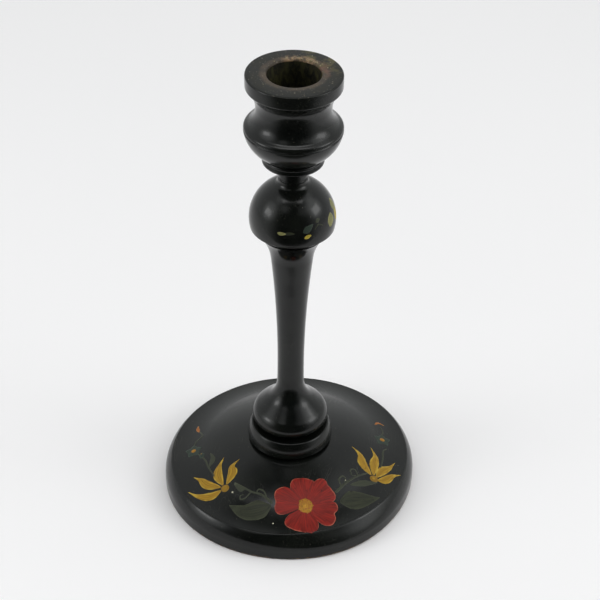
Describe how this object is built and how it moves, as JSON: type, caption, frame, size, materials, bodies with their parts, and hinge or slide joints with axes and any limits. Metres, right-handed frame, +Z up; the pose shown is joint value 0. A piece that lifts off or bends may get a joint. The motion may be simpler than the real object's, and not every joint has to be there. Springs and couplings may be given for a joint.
{
  "type": "candlestick",
  "caption": "Turned, black lacquered wooden candlestick: a round domed base, a waisted stem, a domed knop and a cup with a blind candle hole.",
  "frame": {"origin": "centre of the base's underside, on the table", "axes": "+Z up along the turned axis, towards the candle; -Y is the side with the red painted flower"},
  "size_m": [0.1148, 0.1148, 0.212],
  "materials": {
    "black_lacquer": "near-black lacquer over turned wood, satin gloss, rubbed thin on the rim",
    "bare_wood": "bare close-grained hardwood, not seen from outside"
  },
  "bodies": {
    "root": {"base": "black_lacquer", "foot_ring": "black_lacquer", "stem": "black_lacquer", "knop": "black_lacquer", "candle_cup": "black_lacquer", "neck_dowel": "bare_wood"}
  },
  "joints": []
}
